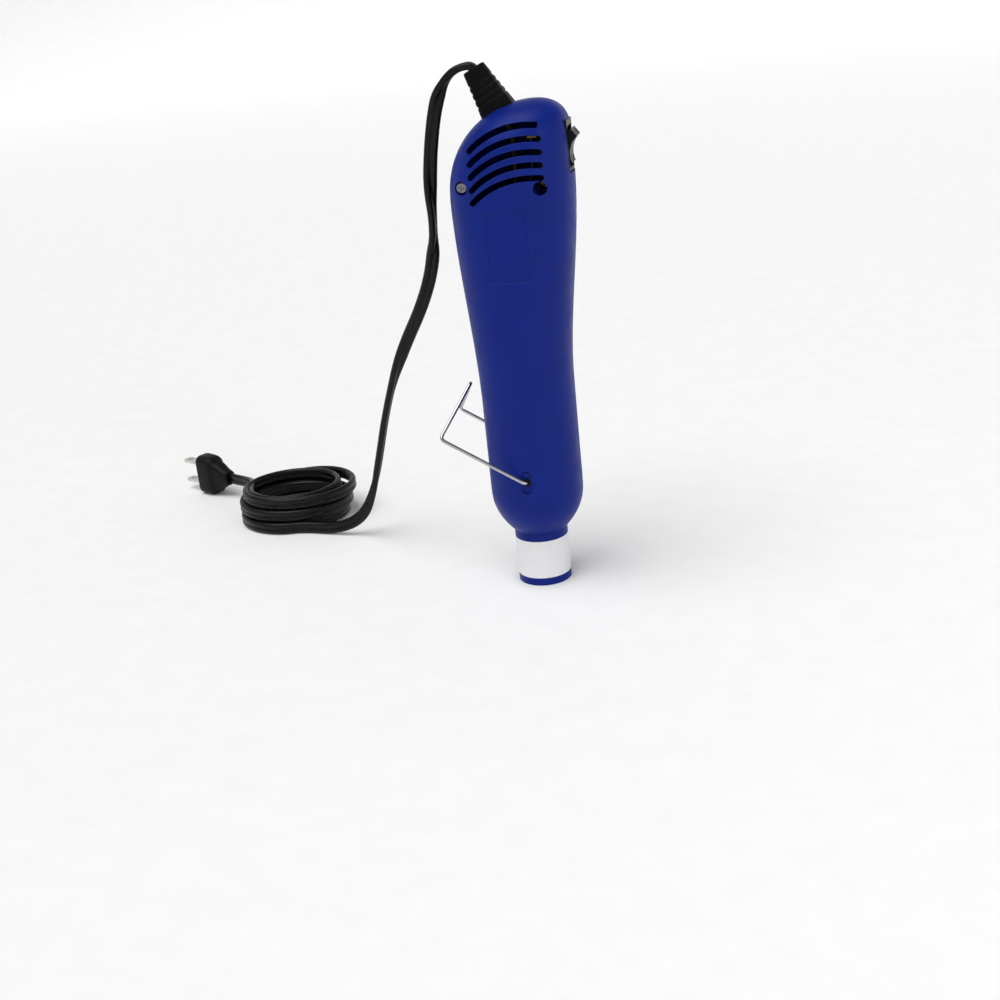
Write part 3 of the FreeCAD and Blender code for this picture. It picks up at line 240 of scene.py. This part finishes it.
# The edge colours below are painted highlights on sharp edges.
FINISHES = {
    "blue_plastic": dict(colour=BLUE, rough=0.42, mottle=0.07, spread=0.07, grain=0.0007,
                         depth=0.00005, strength=0.35, edge_highlight=(0.0005, (0.03, 0.06, 0.30)),
                         specular=0.13),
    "blue_plastic_nose": dict(colour=BLUE, rough=0.38, mottle=0.06, grain=0.0008, specular=0.13),
    # steel_zinc's base colour is kept dark as painted shade for the screw heads deep in their wells.
    "steel_zinc": dict(colour=(0.20, 0.21, 0.23), rough=0.24, metal=1.0, mottle=0.2,
                       edge_highlight=(0.0002, (0.8, 0.8, 0.82))),
    "white_label": dict(colour=(0.82, 0.82, 0.83), rough=0.32, mottle=0.02, spread=0.03,
                        grain=0.003, strength=0.05),
    "stainless": dict(colour=(0.52, 0.50, 0.47), rough=0.3, metal=1.0, scratch=0.3),
    "mica": dict(colour=(0.42, 0.33, 0.22), rough=0.45, mottle=0.3, coat=0.4),
    "resistance_wire": dict(colour=(0.30, 0.25, 0.21), rough=0.42, metal=1.0, mottle=0.3),
    "ceramic": dict(colour=(0.78, 0.74, 0.66), rough=0.6, mottle=0.08),
    "fuse_metal": dict(colour=(0.62, 0.62, 0.60), rough=0.3, metal=1.0),
    # black_nylon is also the pivot bushes' finish, where its black is painted shade for the dark
    # inside the pivot hole.
    "black_nylon": dict(colour=(0.006, 0.006, 0.0065), rough=0.5, specular=0.12),
    "motor_steel": dict(colour=(0.46, 0.46, 0.47), rough=0.34, metal=1.0, scratch=0.3),
    "ferrite": dict(colour=(0.05, 0.05, 0.052), rough=0.55, metal=0.4),
    "copper_wire": dict(colour=(0.66, 0.24, 0.10), rough=0.3, metal=1.0, mottle=0.2, coat=0.5),
    "bronze": dict(colour=(0.55, 0.33, 0.14), rough=0.36, metal=1.0),
    "cream_nylon": dict(colour=(0.74, 0.69, 0.55), rough=0.5, mottle=0.05),
    "brass": dict(colour=(0.34, 0.24, 0.10), rough=0.42, metal=1.0),
    "circuit_board": dict(colour=(0.16, 0.24, 0.07), rough=0.35, coat=0.4),
    "black_epoxy": dict(colour=(0.02, 0.02, 0.021), rough=0.4),
    "capacitor_blue": dict(colour=(0.03, 0.14, 0.38), rough=0.35, coat=0.3),
    "black_switch": dict(colour=(0.0045, 0.0045, 0.005), rough=0.36, spread=0.06, grain=0.0009,
                         edge_highlight=(0.0002, (0.018, 0.018, 0.02)), specular=0.12),
    "black_rubber": dict(colour=(0.0035, 0.0035, 0.0038), rough=0.46, spread=0.06, grain=0.0009,
                         depth=0.00004, specular=0.08),
    "cord_jacket": dict(colour=(0.003, 0.0036, 0.0035), rough=0.33, mottle=0.2, spread=0.08,
                        grain=0.0014, depth=0.00004, specular=0.2),
    "lead_black": dict(colour=(0.015, 0.015, 0.015), rough=0.4),
    "lead_white": dict(colour=(0.8, 0.8, 0.78), rough=0.4, mottle=0.04),
    "lead_glass": dict(colour=(0.72, 0.70, 0.62), rough=0.6, grain=0.0005, strength=0.6,
                       depth=0.0001),
    "chromed_wire": dict(colour=(0.50, 0.51, 0.52), rough=0.16, metal=1.0, mottle=0.05,
                         spread=0.05, scratch=0.15),
    "plug_plastic": dict(colour=(0.0042, 0.004, 0.0039), rough=0.42, spread=0.08, grain=0.0008,
                         depth=0.00004, specular=0.12),
    "blade_nickel": dict(colour=(0.68, 0.66, 0.62), rough=0.24, metal=1.0, scratch=0.35,
                         edge_highlight=(0.0002, (0.86, 0.84, 0.8))),
}


def floor_finish():
    return finish("floor_paper", (0.93, 0.93, 0.93), 0.7, mottle=0.01, grain=0.003,
                  strength=0.05)


MADE = {name: finish(name, **facts) for name, facts in FINISHES.items()}


def dress(node, slot):
    """Gives a carried-over CAD node the finish of its slot."""
    obj = NODES[node]
    obj.data.materials.clear()
    obj.data.materials.append(MADE[slot])


# ---- mesh helpers ------------------------------------------------------------
def piece(name, verts, faces, slot):
    mesh = bpy.data.meshes.new(name)
    mesh.from_pydata([tuple(v) for v in verts], [], faces)
    mesh.validate()
    mesh.update()
    mesh.shade_smooth()
    mesh.materials.append(MADE[slot])
    obj = bpy.data.objects.new(name, mesh)
    bpy.context.scene.collection.objects.link(obj)
    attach(obj, "tool")
    return obj


def skin(rings):
    """A closed tube through rings that all have the same count of points."""
    count = len(rings[0])
    verts = [p for ring in rings for p in ring]
    faces = []
    for r in range(len(rings) - 1):
        for k in range(count):
            a, b = r * count + k, r * count + (k + 1) % count
            faces.append((a, b, b + count, a + count))
    faces.append(tuple(reversed(range(count))))
    last = (len(rings) - 1) * count
    faces.append(tuple(range(last, last + count)))
    return verts, faces


def rounded_rect(width, thick, corner, steps=6):
    """Points of a rounded rectangle round the origin, anticlockwise."""
    corner = min(corner, width / 2 - 1e-5, thick / 2 - 1e-5)
    points = []
    for quarter, (sx, sy) in enumerate(((1, 1), (-1, 1), (-1, -1), (1, -1))):
        cx, cy = sx * (width / 2 - corner), sy * (thick / 2 - corner)
        for k in range(steps + 1):
            a = math.radians(90 * quarter + 90 * k / steps)
            points.append((cx + corner * math.cos(a), cy + corner * math.sin(a)))
    return points


def loft(at, way, side, stations):
    """Rings square to way; a station is (distance, width, thick, corner) in mm."""
    up = way.cross(side)
    rings = []
    for distance, width, thick, corner in stations:
        centre = at + way * (distance * MM)
        ring = [centre + side * (u * MM) + up * (v * MM)
                for u, v in rounded_rect(width, thick, corner)]
        rings.append(ring)
    return rings


def smooth_curve(points, resolution):
    """Points along the NURBS spline that has these control points."""
    data = bpy.data.curves.new("line", "CURVE")
    data.dimensions = "3D"
    spline = data.splines.new("NURBS")
    spline.points.add(len(points) - 1)
    for target, p in zip(spline.points, points):
        target.co = (*p, 1)
    spline.order_u = 3
    spline.use_endpoint_u = True
    data.resolution_u = resolution
    holder = bpy.data.objects.new("line", data)
    bpy.context.scene.collection.objects.link(holder)
    mesh = bpy.data.meshes.new_from_object(holder)
    line = [v.co.copy() for v in mesh.vertices]
    bpy.data.objects.remove(holder)
    bpy.data.curves.remove(data)
    bpy.data.meshes.remove(mesh)
    return line


# ---- the cord ----------------------------------------------------------------
CORD_WIDTH = 6.8
CORE_R = 1.8
LOBE_TURN = 104                # degrees from the wide side to where a core's round starts
LOBE_STEPS = 8
VALLEY = [(0.42, -1.42), (0.0, -1.08), (-0.42, -1.42)]     # the line between the cores
CURVE_STEPS = 6                # points between two control points
CORD_IN = 2.0                  # the cord starts this deep inside the relief's tip
CORD_OUT = 1.6                 # and goes straight on for this much outside it
PLUG_RUN = 12.0                # straight run into the plug
RELIEF_TIP = mm(-11.01, 0, 254.31)
RELIEF_WAY = Vector((-0.4493, 0, 0.8934))
PLUG_WAY = Vector((-0.8660, 0.5000, 0))
PLUG_FACE = mm(-241.8, 143.1, 12.6)
PLUG_LENGTH = 26.0
PLUG_EXIT = PLUG_FACE - PLUG_WAY * (PLUG_LENGTH * MM)
LEAD_ROUTE = [
    (-17.3, 0, 255.3), (-22.3, 0, 253.2), (-27.0, 0, 248.0), (-31.4, 0.5, 239.0),
    (-36.0, 2.5, 221.0), (-39.6, 6, 201.0), (-41.2, 11, 180.0),
    (-45.5, 17, 160.0), (-55.0, 24, 139.5), (-68.0, 31.5, 119.0), (-79.5, 38, 97.0),
    (-88.5, 44.5, 74.0), (-96.0, 50.5, 51.0), (-103.5, 55.5, 29.0),
    (-113.0, 59.5, 11.5), (-130.0, 62.5, 3.6), (-153.0, 67.5, 3.6),
]
TAIL_ROUTE = [
    (-190.0, 88.0, 17.6), (-193.5, 102.0, 17.0), (-199.0, 114.0, 14.8),
]
COIL_AT = Vector((-165.0, 95.0, 0))
TURN_POINTS = 14
COIL_START = -66.0             # degrees, where the lead joins the first turn
SPLINE_REACH = 0.975           # how far out the spline comes, of its control points
# turn, half length, half width, height, and how far it fans out to the right
COIL_TURNS = [
    (0.0, 33.0, 30.4, 3.6, 0.0),
    (1.0, 28.9, 26.3, 3.6, 0.0),
    (2.0, 24.8, 22.2, 3.6, 0.0),
    (2.65, 22.2, 19.7, 3.6, 0.0),
    (2.95, 22.0, 19.5, 10.7, 0.4),
    (3.9, 26.2, 23.6, 10.7, 1.5),
    (4.9, 30.4, 27.9, 10.7, 3.5),
    (5.3, 32.2, 29.6, 10.8, 4.5),
    (5.6, 32.4, 29.8, 17.8, 5.0),
    (6.5, 28.0, 25.4, 17.9, 1.0),
    (7.0, 25.5, 23.4, 17.8, -1.0),
    (7.3, 25.3, 23.4, 17.7, -1.0),
]
TURNS = 7.25
# how far along the cord, in mm, and the way its wide side turns there
TWIST = [
    (0, Y), (14, Y), (34, X), (52, X), (92, Y), (112, X), (152, X),
    (200, Y), (238, Y), (300, Z),
]


def between(rows, at):
    """The row's values at a turn, eased from one row to the next."""
    for low, high in zip(rows, rows[1:]):
        if at <= high[0]:
            share = (at - low[0]) / (high[0] - low[0])
            return [a + (b - a) * share for a, b in zip(low[1:], high[1:])]
    return list(rows[-1][1:])


def coil_points():
    """Control points of the turns, clockwise as seen from above."""
    points = []
    reach = 1.0 / SPLINE_REACH
    for k in range(1, int(TURNS * TURN_POINTS) + 1):
        turn = k / TURN_POINTS
        half_x, half_y, z, fan = between(COIL_TURNS, turn)
        angle = math.radians(COIL_START - 360 * turn)
        c, s = math.cos(angle), math.sin(angle)
        x = half_x * c * reach + fan * (c + 1) / 2
        y = half_y * s * reach
        points.append((COIL_AT.x + x, COIL_AT.y + y, z))
    return points


def cord_route():
    points = [RELIEF_TIP - RELIEF_WAY * (CORD_IN * MM), RELIEF_TIP + RELIEF_WAY * (CORD_OUT * MM)]
    points += [mm(*p) for p in LEAD_ROUTE]
    points += [mm(*p) for p in coil_points()]
    points += [mm(*p) for p in TAIL_ROUTE]
    points += [PLUG_EXIT - PLUG_WAY * (PLUG_RUN * MM), PLUG_EXIT]
    return points


def cord_section():
    """Outline of a flat two-core cord: (across, through) in mm."""
    offset = CORD_WIDTH / 2 - CORE_R
    right = []
    for k in range(LOBE_STEPS + 1):
        a = math.radians(LOBE_TURN - 2 * LOBE_TURN * k / LOBE_STEPS)
        right.append((offset + CORE_R * math.cos(a), CORE_R * math.sin(a)))
    half = right + VALLEY
    outline = half + [(-u, -v) for u, v in half]
    return list(reversed(outline))


def square_to(way, tangent):
    return (way - tangent * way.dot(tangent)).normalized()


def wide_way(along, tangent):
    """The way of the cord's wide side, eased from one row of TWIST to the next."""
    for (start, a), (end, b) in zip(TWIST, TWIST[1:]):
        if along <= end and along < TWIST[-1][0]:
            share = (along - start) / (end - start)
            share = share * share * (3 - 2 * share)
            return (square_to(a, tangent) * (1 - share) + square_to(b, tangent) * share).normalized()
    return square_to(TWIST[-1][1], tangent)


def make_cord():
    line = smooth_curve(cord_route(), CURVE_STEPS)
    outline = cord_section()
    rings = []
    along = 0.0
    for k, p in enumerate(line):
        if k:
            along += (p - line[k - 1]).length
        ahead, behind = line[min(k + 1, len(line) - 1)], line[max(k - 1, 0)]
        tangent = (ahead - behind).normalized()
        wide = wide_way(along / MM, tangent)
        thin = tangent.cross(wide)
        rings.append([p + wide * (u * MM) + thin * (v * MM) for u, v in outline])
    verts, faces = skin(rings)
    cord = piece("cord", verts, faces, "cord_jacket")
    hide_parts("cord_lead", "cord_coil", "cord_tail")
    return cord, line, along


# ---- the strain relief and the plug --------------------------------------------
RELIEF_LENGTH = 20.5
RELIEF_SINK = 4.0              # inside the shells
RELIEF_STEPS = 98
RELIEF_ROOT = (16.0, 12.5)     # width and thickness at the dome
RELIEF_END = (10.6, 7.6)       # and at the tip
RELIEF_SHIFT = 0.4             # towards the front, from the CAD axis
STRAIGHT_FROM = -3.0           # below this the sleeve keeps its width
GROOVES = (4.4, 7.6, 10.8, 14.0)
GROOVE_DEPTH = 0.32
GROOVE_HALF, GROOVE_SLOPE = 0.8, 0.4


def make_relief():
    """Tapered sleeve with cross grooves, from the dome to the cord."""
    at = RELIEF_TIP - RELIEF_WAY * (RELIEF_LENGTH * MM) - X * (RELIEF_SHIFT * MM)
    stations = []
    for k in range(RELIEF_STEPS + 1):
        d = -RELIEF_SINK + (RELIEF_LENGTH + RELIEF_SINK) * k / RELIEF_STEPS
        share = max(d, STRAIGHT_FROM) / RELIEF_LENGTH
        width, thick = [root - (root - end) * share
                        for root, end in zip(RELIEF_ROOT, RELIEF_END)]
        nearest = min(abs(d - centre) for centre in GROOVES)
        groove = GROOVE_DEPTH * min(1.0, max(0.0, (GROOVE_HALF - nearest) / GROOVE_SLOPE))
        stations.append((d, width - 2 * groove, thick - 2 * groove, 3.0))
    # the tip's edge is rounded off
    stations[-1] = (RELIEF_LENGTH, 10.2, 7.0, 2.8)
    stations.append((RELIEF_LENGTH + 0.15, 8.8, 5.8, 2.4))
    rings = loft(at, RELIEF_WAY, Vector((RELIEF_WAY.z, 0, -RELIEF_WAY.x)), stations)
    verts, faces = skin(rings)
    relief = piece("strain_relief_sleeve", verts, faces, "black_rubber")
    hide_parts("strain_relief")


def make_plug():
    """Flat-faced plug: a wide rounded flange, then a neck that tapers to the cord."""
    stations = [
        (0.0, 22.6, 10.8, 3.6), (0.35, 23.8, 12.0, 4.0), (1.1, 24.7, 12.8, 4.2),
        (2.2, 25.0, 13.0, 4.2), (8.0, 24.8, 12.9, 4.2), (11.0, 24.2, 12.6, 4.2),
        (12.8, 22.8, 12.0, 4.0), (13.8, 20.6, 11.2, 3.8), (14.8, 18.8, 10.4, 3.6),
        (16.4, 17.4, 9.9, 3.5), (18.6, 15.4, 9.5, 3.5), (20.6, 12.9, 9.0, 3.5),
        (22.6, 10.9, 8.5, 3.4), (24.6, 9.5, 8.1, 3.2), (25.6, 8.9, 7.7, 3.0),
        (26.0, 8.2, 7.0, 2.8), (26.1, 7.2, 5.4, 2.4),
    ]
    rings = loft(PLUG_FACE, -PLUG_WAY, Z, stations)
    verts, faces = skin(rings)
    plug = piece("plug_shell", verts, faces, "plug_plastic")
    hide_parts("plug_body")
    return plug


# ---- build ---------------------------------------------------------------------
make_camera()
make_world()
floor = make_floor()
floor.data.materials.append(floor_finish())

cord, cord_line, cord_length = make_cord()
make_relief()
plug = make_plug()
for sub in frame["record"]["subparts"]:
    dress(sub["node"], sub["material_slot"])
